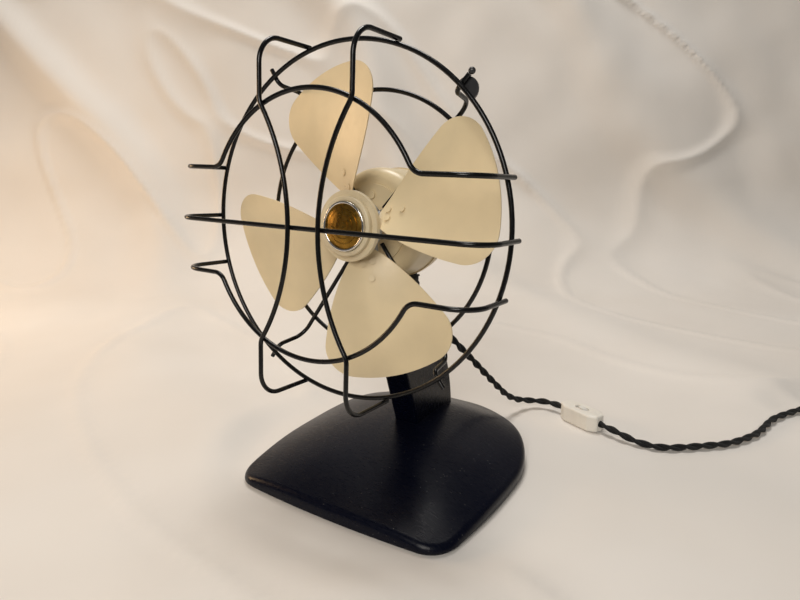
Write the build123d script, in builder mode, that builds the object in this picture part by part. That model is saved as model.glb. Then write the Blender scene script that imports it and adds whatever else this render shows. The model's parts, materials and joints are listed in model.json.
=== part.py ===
from build123d import *
import math
import os

os.makedirs("parts", exist_ok=True)

# Desk fan with an open wire guard, a tilting head and a heavy shield-shaped base.
# Millimetres. +Z is up, the fan blows towards -Y, and +X is to the right when facing the fan.
# The origin is on the resting surface, under the middle of the base.

# ---------------------------------------------------------------- driving dimensions
ring_radius = 137.5  # guard ring, to the centre of its wire
wire = 3.6  # guard wire diameter
ring_height = 239.0  # centre of the guard ring above the table
ring_y = -81.0  # centre of the guard ring, forward of the middle of the base
head_tilt = 4.5  # degrees that the head looks up at rest

base_width = 232.0
base_depth = 244.0
base_rim = 13.0  # height of the rim above the table, before its round edge
base_rise = 25.0  # how far the crown of the base stands above its rim
base_wall = 3.0
pad_height = 2.5

post_width = 26.0
post_wall = 2.4
tilt_pivot = (-31.5, 158.6)  # y and z of the tilt pivot
clamp_point = (-20.5, 178.0)  # y and z of the clamp screws at rest

motor_radius = 46.5
motor_front = 36.6  # distances along the fan axis, backwards from the ring
motor_seam = 75.0
motor_back = 105.0
shaft_radius = 3.175
shaft_fit = 0.04  # radial running clearance of the shaft

blade_radius = 124.5
blade_count = 4
blade_sheet = 1.2
hub_radius = 28.0
badge_radius = 17.6

cord_diameter = 7.2  # diameter over the two twisted strands

# ---------------------------------------------------------------- frames and helpers
tilt = math.radians(head_tilt)
ring_centre = Vector(0, ring_y, ring_height)
back_dir = Vector(0, math.cos(tilt), -math.sin(tilt))
up_dir = Vector(0, math.sin(tilt), math.cos(tilt))
fan_axis = Axis(ring_centre, back_dir)

# head_side: local x runs back along the fan axis, local y is the radius.
head_side = Plane(origin=ring_centre, x_dir=back_dir, z_dir=(1, 0, 0))


def head_front(back):
    """The plane across the fan axis at a distance back from the ring: local x right, local y up."""
    return Plane(origin=ring_centre + back_dir * back, x_dir=(1, 0, 0), z_dir=-back_dir)


def head_point(x, back, up):
    """A point given in the head's own directions."""
    return ring_centre + Vector(x, 0, 0) + back_dir * back + up_dir * up


def head_polar(radius, degrees, back):
    """A point on a circle round the fan axis. 0 degrees is right, 90 is up."""
    angle = math.radians(degrees)
    return head_point(radius * math.cos(angle), back, radius * math.sin(angle))


def write(part, name):
    """Labels a finished piece and writes it."""
    part.label = name
    export_step(part, f"parts/{name}.step")


# ---------------------------------------------------------------- base
front_radius = 1140.0  # the front of the base is a very flat arc
side_radius = 617.0
front_corner_round = 27.0
widest_y = -12.0  # where the sides are furthest apart
crown_y = 42.0  # where the base is highest


def base_outline(inset):
    """The shield plan of the base in the current sketch, pulled in by inset: a bowed front,
    nearly straight sides and a round back that the sides run into smoothly."""
    half = base_width / 2
    front = -base_depth / 2
    back = base_depth / 2
    side_x = half - side_radius
    front_y = front + front_radius
    # The back circle touches the side circles from inside and reaches the back.
    spare = side_radius - back
    back_y = (side_x**2 + widest_y**2 - spare**2) / (2 * (spare + widest_y))
    turn = math.atan2(back_y - widest_y, -side_x)
    back_radius = back - back_y - inset
    join = (back_radius * math.cos(turn), back_y + back_radius * math.sin(turn))
    # The front and side circles cross at the corner.
    apart = math.dist((0, front_y), (side_x, widest_y))
    bearing = math.atan2(widest_y - front_y, side_x)
    reach = front_radius - inset
    span = side_radius - inset
    corner_turn = bearing + math.acos((reach**2 + apart**2 - span**2) / (2 * reach * apart))
    corner = (reach * math.cos(corner_turn), front_y + reach * math.sin(corner_turn))
    with BuildLine() as plan:
        ThreePointArc((-corner[0], corner[1]), (0, front + inset), corner)
        ThreePointArc(corner, (half - inset, widest_y), join)
        ThreePointArc(join, (0, back - inset), (-join[0], join[1]))
        ThreePointArc((-join[0], join[1]), (inset - half, widest_y), (-corner[0], corner[1]))
    face = make_face(plan.edges())
    fillet(face.vertices().group_by(Axis.Y)[0], radius=front_corner_round - inset)


def crown_height(x, y):
    """Height of the base's crowned top: level round the rim, highest at crown_y."""
    reach = base_depth / 2 + crown_y if y < crown_y else base_depth / 2 - crown_y
    squareness = 3.4 if y < crown_y else 2.4
    across = abs(x) / (base_width / 2)
    along = abs(y - crown_y) / reach
    outward = min(across**squareness + along**squareness, 1.6) ** (1 / squareness)
    return base_rim + base_rise * (1 - outward**2)


def crown_face(drop):
    """The crowned top as one smooth face, a little larger than the base."""
    steps = 10
    margin = 12
    rows = []
    for row in range(steps + 1):
        y = (row / steps - 0.5) * (base_depth + margin)
        line = []
        for column in range(steps + 1):
            x = (column / steps - 0.5) * (base_width + margin)
            line.append((x, y, crown_height(x, y) - drop))
        rows.append(line)
    return Face.make_surface_from_array_of_points(rows, tol=5e-2, min_deg=5, max_deg=5)


above_base = 60.0
crown_top = crown_face(0)
crown_inner = crown_face(base_wall)

with BuildPart() as base_block:
    with BuildSketch(Plane.XY.offset(pad_height)):
        base_outline(0)
    extrude(amount=above_base)
    extrude(crown_top, amount=above_base, dir=(0, 0, 1), mode=Mode.SUBTRACT)
    rim_edges = edges().filter_by(lambda e: e.center().Z > base_rim - 2 and e.length > 20)
    fillet(rim_edges, radius=7)

cover_sheet = 1.5
cover_top = pad_height + cover_sheet
boss_spots = ((-84, -92), (84, -92), (-72, 62), (72, 62))
boss_radius = 5.0
cover_screw_radius = 1.6
post_bolt_spots = ((0, 24), (0, 62))
post_bolt_radius = 2.5
post_bolt_top = 44.0

with BuildPart() as base_cavity:
    with BuildSketch(Plane.XY):
        base_outline(base_wall)
    extrude(amount=above_base)
    extrude(crown_inner, amount=above_base, dir=(0, 0, 1), mode=Mode.SUBTRACT)
    with BuildSketch(Plane.XY.offset(cover_top)):
        with Locations(*boss_spots):
            Circle(boss_radius)
            Circle(cover_screw_radius, mode=Mode.SUBTRACT)
    extrude(amount=above_base, mode=Mode.SUBTRACT)

# The stamped shell of the base, with four tapped bosses for the cover and two holes under the post.
with BuildPart() as base_shell:
    add(base_block.part)
    add(base_cavity.part, mode=Mode.SUBTRACT)
    with BuildSketch(Plane.XY):
        with Locations(*post_bolt_spots):
            Circle(post_bolt_radius)
    extrude(amount=above_base, mode=Mode.SUBTRACT)
write(base_shell.part, "base_shell")

with BuildPart() as base_bottom_cover:
    with BuildSketch(Plane.XY.offset(pad_height)):
        base_outline(base_wall + 0.2)
        with Locations(*boss_spots):
            Circle(cover_screw_radius, mode=Mode.SUBTRACT)
    extrude(amount=cover_sheet)
write(base_bottom_cover.part, "base_bottom_cover")

screw_access = 5.0
with BuildPart() as base_pad:
    with BuildSketch(Plane.XY):
        base_outline(2.2)
        with Locations(*boss_spots):
            Circle(screw_access, mode=Mode.SUBTRACT)
    extrude(amount=pad_height)
write(base_pad.part, "base_pad")

cover_head_radius = 3.4
cover_head_height = 1.7
cover_screw_length = 9.0
with BuildPart() as cover_screws:
    with BuildSketch(Plane.XY.offset(pad_height - cover_head_height)):
        with Locations(*boss_spots):
            Circle(cover_head_radius)
    extrude(amount=cover_head_height)
    with BuildSketch(Plane.XY.offset(pad_height)):
        with Locations(*boss_spots):
            Circle(cover_screw_radius)
    extrude(amount=cover_screw_length)
    with BuildSketch(Plane.XY.offset(pad_height - cover_head_height)):
        with Locations(*boss_spots):
            Rectangle(2 * cover_head_radius, 0.9)
    extrude(amount=0.8, mode=Mode.SUBTRACT)
write(cover_screws.part, "cover_screws")

# ---------------------------------------------------------------- post
post_foot = 20.0
post_lean_bottom = (7.0, 33.0)
post_lean_top = (-35.0, 158.0)
lean = (post_lean_top[0] - post_lean_bottom[0]) / (post_lean_top[1] - post_lean_bottom[1])
ear_radius = 8.0
shoulder_front = (-33.5, 168.0)
shoulder_back = (-2.0, 167.0)
foot_back = (79.0, post_foot)
ear_front = clamp_point[0] - ear_radius
ear_back = clamp_point[0] + ear_radius
web_top = 149.0
post_floor = 46.0


def post_profile():
    """The post seen from the side, in the current YZ sketch."""
    foot_front = (post_lean_bottom[0] + lean * (post_foot - post_lean_bottom[1]), post_foot)
    with BuildLine() as side:
        Line(foot_front, post_lean_top)
        ThreePointArc(post_lean_top, (-36.4, 163.0), shoulder_front)
        Line(shoulder_front, (ear_front, 173.0))
        Line((ear_front, 173.0), (ear_front, clamp_point[1]))
        ThreePointArc(
            (ear_front, clamp_point[1]),
            (clamp_point[0], clamp_point[1] + ear_radius),
            (ear_back, clamp_point[1]),
        )
        Line((ear_back, clamp_point[1]), (ear_back, 174.0))
        Line((ear_back, 174.0), shoulder_back)
        ThreePointArc(shoulder_back, (49.5, 119.0), foot_back)
        Line(foot_back, foot_front)
    face = make_face(side.edges())
    fillet(face.vertices().filter_by(lambda v: 158 < v.Y < 177), radius=5)


with BuildPart() as post_block:
    with BuildSketch(Plane.YZ):
        post_profile()
    extrude(amount=post_width / 2, both=True)
    long_edges = edges().filter_by(
        lambda e: abs(abs(e.center().X) - post_width / 2) < 0.01 and e.length > 100
    )
    fillet(long_edges, radius=3.4)

pivot_radius = 2.4
clamp_radius = 1.9

with BuildPart() as post:
    add(post_block.part)
    with BuildSketch(Plane.YZ):
        post_profile()
        offset(amount=-post_wall, kind=Kind.INTERSECTION)
        with Locations((0, 0)):
            Rectangle(400, 2 * post_floor, mode=Mode.SUBTRACT)
        with Locations((0, web_top + 50)):
            Rectangle(200, 100)
    extrude(amount=post_width / 2 - post_wall, both=True, mode=Mode.SUBTRACT)
    add(base_block.part, mode=Mode.SUBTRACT)
    with BuildSketch(Plane.YZ):
        with Locations(tilt_pivot):
            Circle(pivot_radius)
        with Locations(clamp_point):
            Circle(clamp_radius)
    extrude(amount=post_width, both=True, mode=Mode.SUBTRACT)
    with BuildSketch(Plane.XY):
        with Locations(*post_bolt_spots):
            Circle(post_bolt_radius)
    extrude(amount=post_bolt_top, mode=Mode.SUBTRACT)
write(post.part, "post")

bolt_head_radius = 4.5
bolt_head_height = 3.5
with BuildPart() as post_bolts:
    for spot in post_bolt_spots:
        head_top = crown_height(spot[0], spot[1]) - base_wall - 1.0
        with BuildSketch(Plane.XY.offset(head_top)):
            with Locations(spot):
                RegularPolygon(bolt_head_radius, 6)
        extrude(amount=-bolt_head_height)
        with BuildSketch(Plane.XY.offset(head_top)):
            with Locations(spot):
                Circle(post_bolt_radius)
        extrude(amount=post_bolt_top - head_top)
write(post_bolts.part, "post_bolts")

# Screws of the tilt joint. Both pairs are tapped into the ears and reach into the bracket's legs.
leg_gap = 0.2  # between an ear and the leg inside it
leg_outer = post_width / 2 - post_wall - leg_gap
leg_sheet = 1.8
leg_inner = leg_outer - leg_sheet


def ear_screws(spot, shank, head, thick):
    """A pair of screws with round slotted heads, one through each ear, in the current part."""
    for side in (-1, 1):
        face = Plane(origin=(side * post_width / 2, spot[0], spot[1]), x_dir=(0, 1, 0), z_dir=(side, 0, 0))
        with BuildSketch(face) as head_disc:
            Circle(head)
        extrude(head_disc.sketch, amount=thick)
        fillet(edges().filter_by(GeomType.CIRCLE).sort_by(Axis.X)[-1 if side > 0 else 0], radius=1.2)
        with BuildSketch(face) as shank_disc:
            Circle(shank)
        extrude(shank_disc.sketch, amount=-(post_width / 2 - leg_inner))
        with BuildSketch(face.offset(thick)) as slot_shape:
            Rectangle(2.2 * head, 1.2, rotation=25)
        extrude(slot_shape.sketch, amount=-1.4, mode=Mode.SUBTRACT)


with BuildPart() as pivot_screws:
    ear_screws(tilt_pivot, pivot_radius, 5.0, 4.0)
write(pivot_screws.part, "pivot_screws")

with BuildPart() as clamp_screws:
    ear_screws(clamp_point, clamp_radius, 5.4, 4.4)
write(clamp_screws.part, "clamp_screws")

# ---------------------------------------------------------------- motor
bell_sheet = 2.0
boss_outer = 9.8
bearing_radius = 6.4
bearing_length = 14.0
front_bearing = motor_front - 5.6  # front end of the front bearing
rear_bearing = motor_back - 18.0
yoke_front = 45.0
yoke_back = 69.0
bore_radius = 22.4
bolt_circle = 34.5
bolt_radius = 2.0
bolt_angles = (35, 145, 215, 325)
bolt_seat = 96.0  # where the bolt heads sit in the rear shell


def ring_profile(start, end, inner, outer):
    """A rectangle of the current head_side sketch, from start to end along the fan axis."""
    with Locations(((start + end) / 2, (inner + outer) / 2)):
        Rectangle(end - start, outer - inner)


with BuildPart() as bracket_screws:
    bracket_spots = [(x, clamp_point[0]) for x in (-4.4, 4.4)]
    with BuildSketch(Plane.XY.offset(181.6)):
        with Locations(*bracket_spots):
            Circle(3.2)
    extrude(amount=2.6)
    with BuildSketch(Plane.XY.offset(184.2)):
        with Locations(*bracket_spots):
            Circle(1.6)
    extrude(amount=11.0)
write(bracket_screws.part, "bracket_screws")

# Motor solid used to trim whatever sits against the round of the motor.
with BuildPart() as motor_round:
    with BuildSketch(head_side):
        ring_profile(motor_front, motor_back, 0, motor_radius)
    revolve(axis=fan_axis)

slot_angle = 11.0
slot_reach = math.dist(tilt_pivot, clamp_point)
slot_middle = math.degrees(
    math.atan2(clamp_point[1] - tilt_pivot[1], clamp_point[0] - tilt_pivot[0])
)


def around_pivot(reach, degrees):
    """A point of the YZ plane at a reach from the tilt pivot."""
    angle = math.radians(degrees)
    return (tilt_pivot[0] + reach * math.cos(angle), tilt_pivot[1] + reach * math.sin(angle))


# The saddle under the motor: a strap with two legs that turn on the pivot screws.
with BuildPart() as motor_bracket:
    with BuildSketch(Plane.YZ):
        with BuildLine():
            Polyline(
                (ear_front, 196),
                (ear_front, 170),
                around_pivot(6.6, 175),
                around_pivot(6.6, 215),
                around_pivot(6.6, 265),
                around_pivot(6.6, 320),
                (ear_back, 168),
                (ear_back, 196),
                close=True,
            )
        make_face()
    extrude(amount=leg_outer, both=True)
    with BuildSketch(Plane.YZ):
        with Locations((0, 92)):
            Rectangle(200, 184.2)
    extrude(amount=leg_inner, both=True, mode=Mode.SUBTRACT)
    with BuildSketch(Plane.YZ):
        with Locations(tilt_pivot):
            Circle(pivot_radius + 0.05)
        with BuildLine():
            slot_line = ThreePointArc(
                around_pivot(slot_reach, slot_middle - slot_angle),
                around_pivot(slot_reach, slot_middle),
                around_pivot(slot_reach, slot_middle + slot_angle),
            )
        SlotArc(slot_line, 2 * (clamp_radius + 0.25))
    extrude(amount=post_width, both=True, mode=Mode.SUBTRACT)
    add(motor_round.part, mode=Mode.SUBTRACT)
    add(bracket_screws.part, mode=Mode.SUBTRACT)
write(motor_bracket.part, "motor_bracket")

with BuildPart() as through_bolts:
    for angle in bolt_angles:
        seat = Plane(origin=head_polar(bolt_circle, angle, bolt_seat), z_dir=back_dir)
        with BuildSketch(seat) as bolt_head:
            RegularPolygon(4.0, 6)
        extrude(bolt_head.sketch, amount=3.0)
        with BuildSketch(seat) as bolt_shank:
            Circle(bolt_radius)
        extrude(bolt_shank.sketch, amount=motor_front + bell_sheet + 1 - bolt_seat)
write(through_bolts.part, "through_bolts")


def bolt_bosses(start, end, radius):
    """Round columns along the through-bolts, in the current part."""
    for angle in bolt_angles:
        with BuildSketch(Plane(origin=head_polar(bolt_circle, angle, start), z_dir=back_dir)) as boss:
            Circle(radius)
        extrude(boss.sketch, amount=end - start)


with BuildPart() as motor_front_bell:
    with BuildSketch(head_side):
        with BuildLine():
            FilletPolyline(
                (motor_front, 0),
                (motor_front, motor_radius),
                (motor_seam, motor_radius),
                radius=10,
            )
            Polyline(
                (motor_seam, motor_radius),
                (motor_seam, motor_radius - bell_sheet),
                (yoke_front - 1, motor_radius - bell_sheet),
                (yoke_front - 1, motor_radius - bell_sheet - 1),
            )
            FilletPolyline(
                (yoke_front - 1, motor_radius - bell_sheet - 1),
                (motor_front + bell_sheet, motor_radius - bell_sheet - 1),
                (motor_front + bell_sheet, 0),
                radius=5,
            )
            Line((motor_front + bell_sheet, 0), (motor_front, 0))
        make_face()
        ring_profile(front_bearing + 0.6, front_bearing + bearing_length - 1, 0, boss_outer)
    revolve(axis=fan_axis)
    bolt_bosses(motor_front + 1, yoke_front, 4.2)
    with BuildSketch(head_side):
        ring_profile(0, 80, 0, bearing_radius)
    revolve(axis=fan_axis, mode=Mode.SUBTRACT)
    add(through_bolts.part, mode=Mode.SUBTRACT)
    add(bracket_screws.part, mode=Mode.SUBTRACT)

dome_start = 86.0
dome_flat = 26.0
grommet_angle = 285.0  # the cord leaves under the motor, a little to the right
grommet_back = 82.0
grommet_origin = head_polar(motor_radius - 3, grommet_angle, grommet_back)
grommet_way = (head_polar(motor_radius, grommet_angle, grommet_back) - grommet_origin).normalized()
grommet_plane = Plane(origin=grommet_origin, z_dir=grommet_way)
grommet_neck_radius = 5.0


def rear_dome(inset, front):
    """Half of the rear shell's section, filled to the axis, in the current head_side sketch."""
    with BuildLine() as half_section:
        Line((front, 0), (front, motor_radius - inset))
        Line((front, motor_radius - inset), (dome_start, motor_radius - 0.6 - inset))
        ThreePointArc(
            (dome_start, motor_radius - 0.6 - inset),
            (98.5 - 0.7 * inset, 39.0 - 0.7 * inset),
            (motor_back - inset, dome_flat - inset),
        )
        Line((motor_back - inset, dome_flat - inset), (motor_back - inset, 0))
        Line((motor_back - inset, 0), (front, 0))
    make_face(half_section.edges())


with BuildPart() as rear_cavity:
    with BuildSketch(head_side) as cavity_section:
        rear_dome(bell_sheet, motor_seam - 1)
    revolve(cavity_section.sketch, axis=fan_axis)
    with BuildSketch(head_side) as bearing_boss:
        ring_profile(rear_bearing + 1, motor_back, bearing_radius, boss_outer)
    revolve(bearing_boss.sketch, axis=fan_axis, mode=Mode.SUBTRACT)
    for angle in bolt_angles:
        with BuildSketch(Plane(origin=head_polar(bolt_circle, angle, yoke_back), z_dir=back_dir)) as boss:
            Circle(6.0)
        extrude(boss.sketch, amount=40, mode=Mode.SUBTRACT)

with BuildPart() as motor_rear_shell:
    with BuildSketch(head_side) as shell_section:
        rear_dome(0, motor_seam)
        ring_profile(motor_seam, motor_seam + 4, motor_radius - 1, motor_radius + 0.9)
    revolve(shell_section.sketch, axis=fan_axis)
    add(rear_cavity.part, mode=Mode.SUBTRACT)
    for angle in bolt_angles:
        with BuildSketch(Plane(origin=head_polar(bolt_circle, angle, bolt_seat), z_dir=back_dir)) as seat_disc:
            Circle(5.2)
        extrude(seat_disc.sketch, amount=14, mode=Mode.SUBTRACT)
    add(through_bolts.part, mode=Mode.SUBTRACT)
    with BuildSketch(grommet_plane) as grommet_hole:
        Circle(grommet_neck_radius)
    extrude(grommet_hole.sketch, amount=6, both=True, mode=Mode.SUBTRACT)

# ---------------------------------------------------------------- inside the motor
with BuildPart() as stator_core:
    with BuildSketch(head_front(yoke_front)) as core_section:
        Circle(motor_radius - bell_sheet)
        Circle(bore_radius, mode=Mode.SUBTRACT)
        with PolarLocations(27.0, 4, start_angle=0):
            Rectangle(8.6, 21.0, mode=Mode.SUBTRACT)
    extrude(core_section.sketch, amount=-(yoke_back - yoke_front))
    add(through_bolts.part, mode=Mode.SUBTRACT)
    add(bracket_screws.part, mode=Mode.SUBTRACT)
write(stator_core.part, "stator_core")

coil_overhang = 5.0
with BuildPart() as stator_coils:
    with BuildSketch(head_front(yoke_front - coil_overhang)) as coil_section:
        with PolarLocations(27.0, 4, start_angle=0):
            Rectangle(7.8, 20.0)
    extrude(coil_section.sketch, amount=-(yoke_back - yoke_front + 2 * coil_overhang))
write(stator_coils.part, "stator_coils")

write(motor_front_bell.part, "motor_front_bell")
write(motor_rear_shell.part, "motor_rear_shell")
write(through_bolts.part, "through_bolts")


def bearing_sleeve(start):
    """A plain bronze sleeve with running clearance, in the current part."""
    with BuildSketch(head_side) as sleeve:
        ring_profile(start, start + bearing_length, shaft_radius + shaft_fit, bearing_radius)
    revolve(sleeve.sketch, axis=fan_axis)


with BuildPart() as front_bearing_sleeve:
    bearing_sleeve(front_bearing)
write(front_bearing_sleeve.part, "front_bearing_sleeve")

with BuildPart() as rear_bearing_sleeve:
    bearing_sleeve(rear_bearing)
write(rear_bearing_sleeve.part, "rear_bearing_sleeve")

with BuildPart() as oil_wicks:
    with BuildSketch(head_side) as wick_rings:
        ring_profile(rear_bearing + 2, rear_bearing + 8, boss_outer + 0.1, boss_outer + 4)
    revolve(wick_rings.sketch, axis=fan_axis)
write(oil_wicks.part, "oil_wicks")

# ---------------------------------------------------------------- guard
front_plane = 51.3  # how far the front wires stand ahead of the ring
leg_tail = 4.0  # how far the wire ends reach behind the ring
leg_bend = 20.0
leg_reach = ring_radius + wire + 0.02
spoke_plane = motor_front - 1.8 - wire / 2
rear_ring_radius = 106.8

with BuildPart() as guard_ring:
    with BuildSketch(head_side) as ring_section:
        with Locations((0, ring_radius)):
            Circle(wire / 2)
    revolve(ring_section.sketch, axis=fan_axis)
write(guard_ring.part, "guard_ring")


def sweep_wire(line, diameter):
    """A round wire along a finished line, in the current part."""
    with BuildSketch(Plane(origin=line @ 0, z_dir=line % 0)) as section:
        Circle(diameter / 2)
    sweep(section.sketch, path=line)


def bent_leg(place, run, plane):
    """The end of a front wire: back past the ring, forward, and round the front bend."""
    inward = -1 if run > 0 else 1
    middle = leg_bend * (1 - math.sqrt(0.5))
    Line(place(run, leg_tail), place(run, -plane + leg_bend))
    ThreePointArc(
        place(run, -plane + leg_bend),
        place(run + inward * middle, -plane + middle),
        place(run + inward * leg_bend, -plane),
    )


def curved_wire(place, offset, plane, centre, radius, outward):
    """A front wire whose middle is an arc. Along the wire it runs straight in from each leg, turns
    round a small bend and follows a circle whose centre lies beside the wire at that offset."""
    corner = 12.0
    leg_run = math.sqrt(leg_reach**2 - offset**2)
    bend_side = offset + outward * corner
    bend_run = math.sqrt((radius + corner) ** 2 - (bend_side - centre) ** 2)
    share = radius / (radius + corner)
    join = (bend_run * share, centre + (bend_side - centre) * share)
    sweep_half = (math.atan2(join[1] - bend_side, join[0] - bend_run) - outward * math.pi / 2) % math.tau
    sweep_half = (sweep_half - math.tau if sweep_half > math.pi else sweep_half) / 2
    middle_angle = -outward * math.pi / 2 + sweep_half
    if outward < 0:
        middle_angle = math.pi / 2 + (math.atan2(join[1] - bend_side, join[0] - bend_run) - math.pi / 2) / 2
    else:
        turned = math.atan2(join[1] - bend_side, join[0] - bend_run) % math.tau
        middle_angle = (turned + 1.5 * math.pi) / 2
    middle = (
        bend_run + corner * math.cos(middle_angle),
        bend_side + corner * math.sin(middle_angle),
    )
    apex = centre + outward * radius
    with BuildLine() as line:
        for sign in (-1, 1):
            bent_leg(lambda run, back: place(run, back, offset), sign * leg_run, plane)
            Line(
                place(sign * (leg_run - leg_bend), -plane, offset),
                place(sign * bend_run, -plane, offset),
            )
            ThreePointArc(
                place(sign * bend_run, -plane, offset),
                place(sign * middle[0], -plane, middle[1]),
                place(sign * join[0], -plane, join[1]),
            )
        ThreePointArc(
            place(-join[0], -plane, join[1]),
            place(0, -plane, apex),
            place(join[0], -plane, join[1]),
        )
    return line.wires()[0]


def across(run, back, side=0):
    """A point of a wire that runs left to right."""
    return head_point(run, back, side)


def upright(run, back, side=0):
    """A point of a wire that runs bottom to top."""
    return head_point(side, back, run)


behind_plane = front_plane - wire - 0.02
with BuildPart() as guard_wire_middle:
    with BuildLine() as middle_line:
        for sign in (-1, 1):
            bent_leg(across, sign * leg_reach, behind_plane)
        Line(across(-leg_reach + leg_bend, -behind_plane), across(leg_reach - leg_bend, -behind_plane))
    sweep_wire(middle_line.wires()[0], wire)
write(guard_wire_middle.part, "guard_wire_middle")

arch_offset = 41.5
arch_radius = 97.0
bow_offset = 41.4
bow_radius = 157.0
bow_centre = 171.0

for name, sign in (("guard_wire_upper_arch", 1), ("guard_wire_lower_arch", -1)):
    with BuildPart() as arch_wire:
        arch_line = curved_wire(
            lambda run, back, side: across(run, back, sign * side),
            arch_offset,
            behind_plane,
            0.0,
            arch_radius,
            1,
        )
        sweep_wire(arch_line, wire)
    write(arch_wire.part, name)

for name, sign in (("guard_wire_right_bow", 1), ("guard_wire_left_bow", -1)):
    with BuildPart() as bow_wire:
        bow_line = curved_wire(
            lambda run, back, side: upright(run, back, sign * side),
            bow_offset,
            front_plane,
            bow_centre,
            bow_radius,
            -1,
        )
        sweep_wire(bow_line, wire)
    write(bow_wire.part, name)

plate_inner = 13.0
plate_outer = 33.0
plate_sheet = 1.8
plate_screw_angles = (0, 90, 180, 270)
plate_screw_circle = 24.0
plate_screw_radius = 1.6

with BuildPart() as guard_plate_screws:
    for angle in plate_screw_angles:
        spot = Plane(
            origin=head_polar(plate_screw_circle, angle, motor_front - plate_sheet), z_dir=-back_dir
        )
        with BuildSketch(spot) as screw_head:
            Circle(3.0)
        extrude(screw_head.sketch, amount=2.0)
        with BuildSketch(spot) as screw_shank:
            Circle(plate_screw_radius)
        extrude(screw_shank.sketch, amount=-(plate_sheet + bell_sheet))
write(guard_plate_screws.part, "guard_plate_screws")

with BuildPart() as motor_front_bell_drilled:
    add(motor_front_bell.part)
    add(guard_plate_screws.part, mode=Mode.SUBTRACT)
write(motor_front_bell_drilled.part, "motor_front_bell")

with BuildPart() as guard_mount_plate:
    with BuildSketch(head_side) as plate_section:
        ring_profile(motor_front - plate_sheet, motor_front, plate_inner, plate_outer)
    revolve(plate_section.sketch, axis=fan_axis)
    add(guard_plate_screws.part, mode=Mode.SUBTRACT)
write(guard_mount_plate.part, "guard_mount_plate")

spoke_angles = (48.0, 124.0, 236.0, 308.5)
spoke_tail = wire + 0.02  # the spokes cross just behind the ring
with BuildPart() as guard_spokes:
    for angle in spoke_angles:
        with BuildLine() as spoke_line:
            FilletPolyline(
                head_polar(146.0, angle, spoke_tail),
                head_polar(131.5, angle, spoke_tail),
                head_polar(126.5, angle, spoke_plane),
                head_polar(19.0, angle, spoke_plane),
                radius=(6.0, 13.0),
            )
        sweep_wire(spoke_line.wires()[0], wire)
write(guard_spokes.part, "guard_spokes")

with BuildPart() as guard_rear_ring:
    with BuildSketch(head_side) as rear_ring_section:
        with Locations((spoke_plane + wire + 0.02, rear_ring_radius)):
            Circle(wire / 2)
    revolve(rear_ring_section.sketch, axis=fan_axis)
write(guard_rear_ring.part, "guard_rear_ring")

# A half-round tab behind the ring beside one spoke, with a ball on the spoke's end.
tab_radius = 8.5
tab_back = spoke_tail + wire / 2 + 0.02
with BuildPart() as guard_tab:
    with BuildSketch(head_front(tab_back)) as tab_shape:
        with Locations((ring_radius * math.cos(math.radians(46)), ring_radius * math.sin(math.radians(46)))):
            Circle(tab_radius)
        Circle(ring_radius - 1.5, mode=Mode.SUBTRACT)
    extrude(tab_shape.sketch, amount=-1.2)
    with Locations(head_polar(148.6, spoke_angles[0], spoke_tail)):
        Sphere(2.5)
write(guard_tab.part, "guard_tab")

# ---------------------------------------------------------------- rotor
rotor_radius = 22.0
with BuildPart() as rotor_core:
    with BuildSketch(head_side) as rotor_section:
        ring_profile(yoke_front + 0.5, yoke_back - 0.5, shaft_radius, rotor_radius)
    revolve(rotor_section.sketch, axis=fan_axis)
write(rotor_core.part, "rotor_core")

shaft_front = 5.0
with BuildPart() as motor_shaft:
    with BuildSketch(head_side) as shaft_section:
        ring_profile(shaft_front, rear_bearing + bearing_length, 0, shaft_radius)
    revolve(shaft_section.sketch, axis=fan_axis)
write(motor_shaft.part, "motor_shaft")

with BuildPart() as thrust_washers:
    with BuildSketch(head_side) as washer_section:
        ring_profile(rear_bearing - 1.6, rear_bearing - 0.6, shaft_radius, 6.0)
        ring_profile(yoke_back - 0.5, rear_bearing - 1.6, shaft_radius, 4.6)
    revolve(washer_section.sketch, axis=fan_axis)
write(thrust_washers.part, "thrust_washers")

blade_middle = 16.2  # back from the ring to the middle of the blades
blade_pitch = 24.0  # forward travel of the blade surface per radian
blade_cup = 3.5  # how far the blade's middle is dished backwards
blade_half_angle = 33.0
blade_offset = 20.0  # first blade's angle at rest
spider_radius = 20.6
hub_boss_radius = 10.0


def blade_depth(radius, turn):
    """Distance back from the ring of the blade surface, turn radians from the blade's middle."""
    share = turn / math.radians(blade_half_angle)
    cup = blade_cup * (radius / blade_radius) * (1 - share**2)
    return blade_middle + blade_pitch * turn + cup - blade_cup * 0.5


def blade_slab(angle, behind, inner, outer, half_angle):
    """The twisted blade surface as a sheet one blade thick, wider than any piece cut from it."""
    rows = []
    for row in range(7):
        radius = inner + (outer - inner) * row / 6
        line = []
        for column in range(9):
            turn = math.radians(half_angle) * (column / 4 - 1)
            place = angle + math.degrees(turn)
            line.append(head_polar(radius, place, blade_depth(radius, turn) + behind))
        rows.append(line)
    return Face.make_surface_from_array_of_points(rows, tol=1e-2, min_deg=3, max_deg=5)


def polar(radius, degrees):
    """A point of a sketch in polar form."""
    angle = math.radians(degrees)
    return (radius * math.cos(angle), radius * math.sin(angle))


def petal(angle):
    """A blade's outline in the current sketch, seen from the front: wide, with round corners."""
    with BuildLine() as outline:
        ThreePointArc(
            polar(blade_radius, angle - 30), polar(blade_radius, angle), polar(blade_radius, angle + 29)
        )
        ThreePointArc(
            polar(blade_radius, angle + 29), polar(76, angle + 30), polar(21, angle + 12)
        )
        ThreePointArc(polar(21, angle + 12), polar(21, angle), polar(21, angle - 12))
        ThreePointArc(
            polar(21, angle - 12), polar(76, angle - 32), polar(blade_radius, angle - 30)
        )
    face = make_face(outline.edges())
    tips = face.vertices().filter_by(lambda v: math.hypot(v.X, v.Y) > 100)
    fillet(tips, radius=23)


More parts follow.
